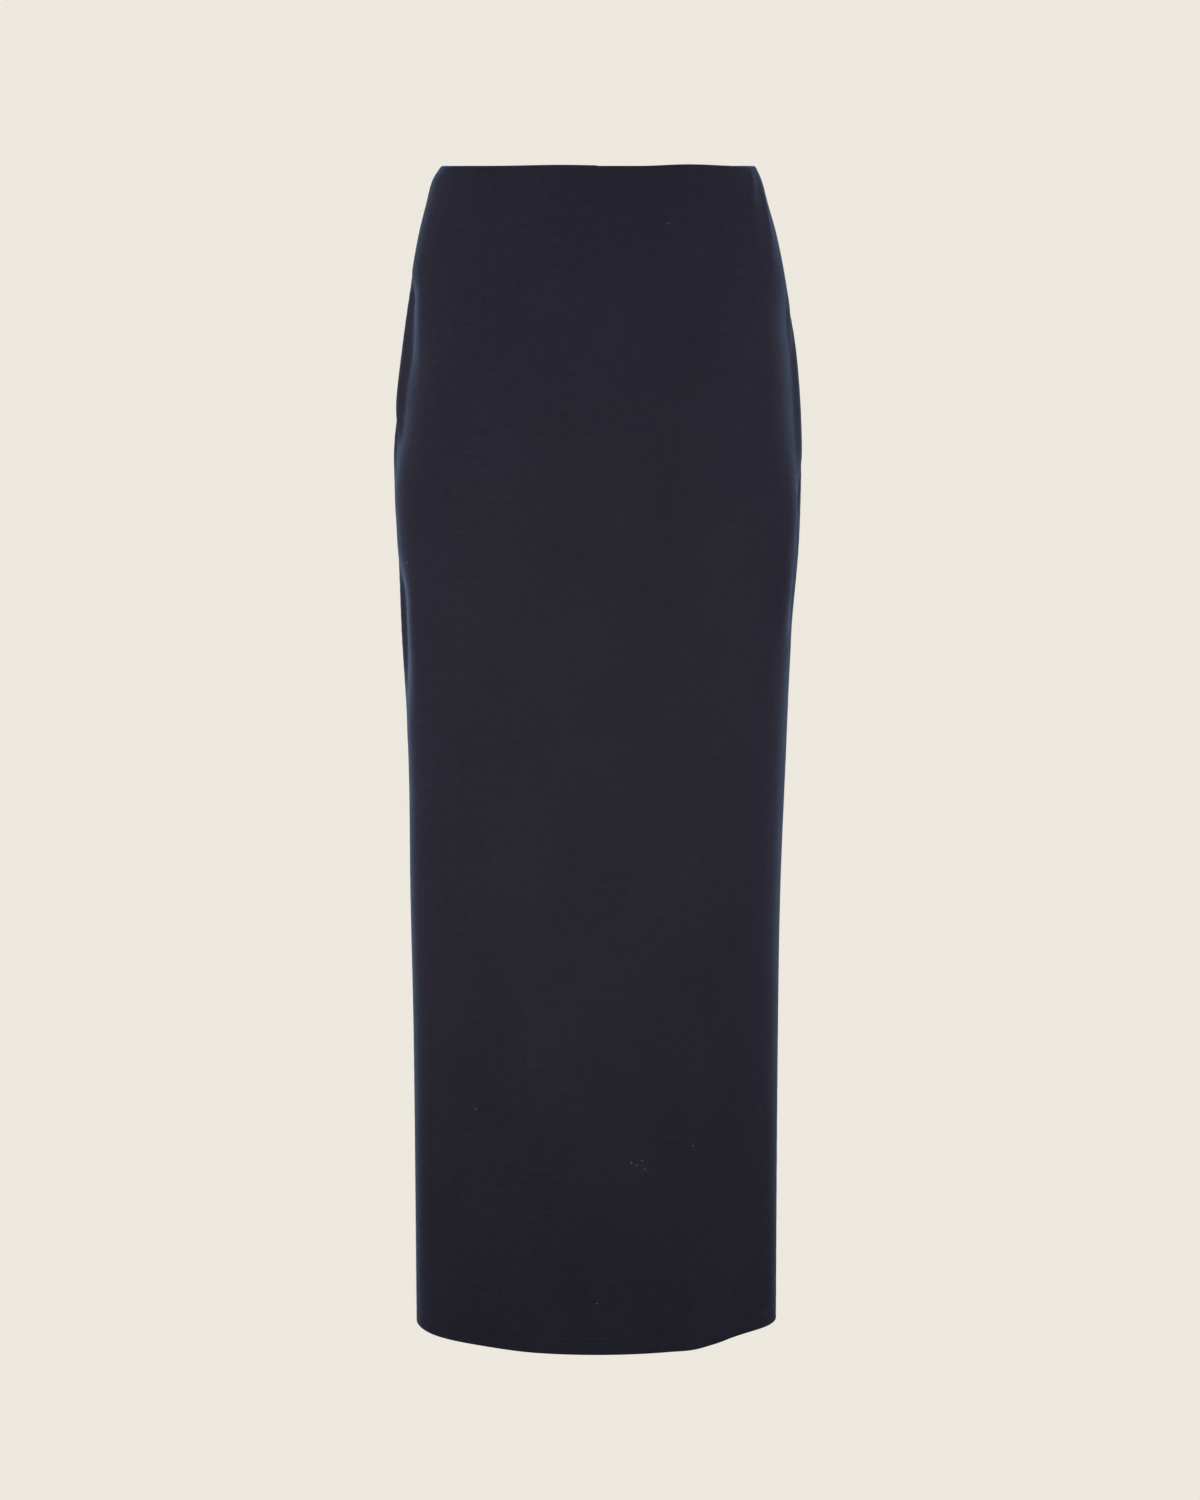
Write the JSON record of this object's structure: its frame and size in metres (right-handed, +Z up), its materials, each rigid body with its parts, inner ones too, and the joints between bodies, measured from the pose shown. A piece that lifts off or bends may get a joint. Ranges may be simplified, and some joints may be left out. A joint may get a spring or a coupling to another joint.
{
  "type": "pencil skirt",
  "caption": "Long fitted jersey skirt, filled out as when worn: narrow waist, curved hip, straight leg, open at waist and hem.",
  "frame": {"origin": "centre of the waist opening, level with the top edge", "axes": "+Z up from the hem to the waist, front of the skirt towards -Y, +X to the viewer's right as seen from the front"},
  "size_m": [0.3444, 0.2441, 1],
  "materials": {
    "jersey": "matte single jersey knit, dark navy",
    "stitching": "polyester sewing thread, navy"
  },
  "bodies": {
    "root": {"front_panel": "jersey", "back_panel": "jersey"}
  },
  "joints": []
}
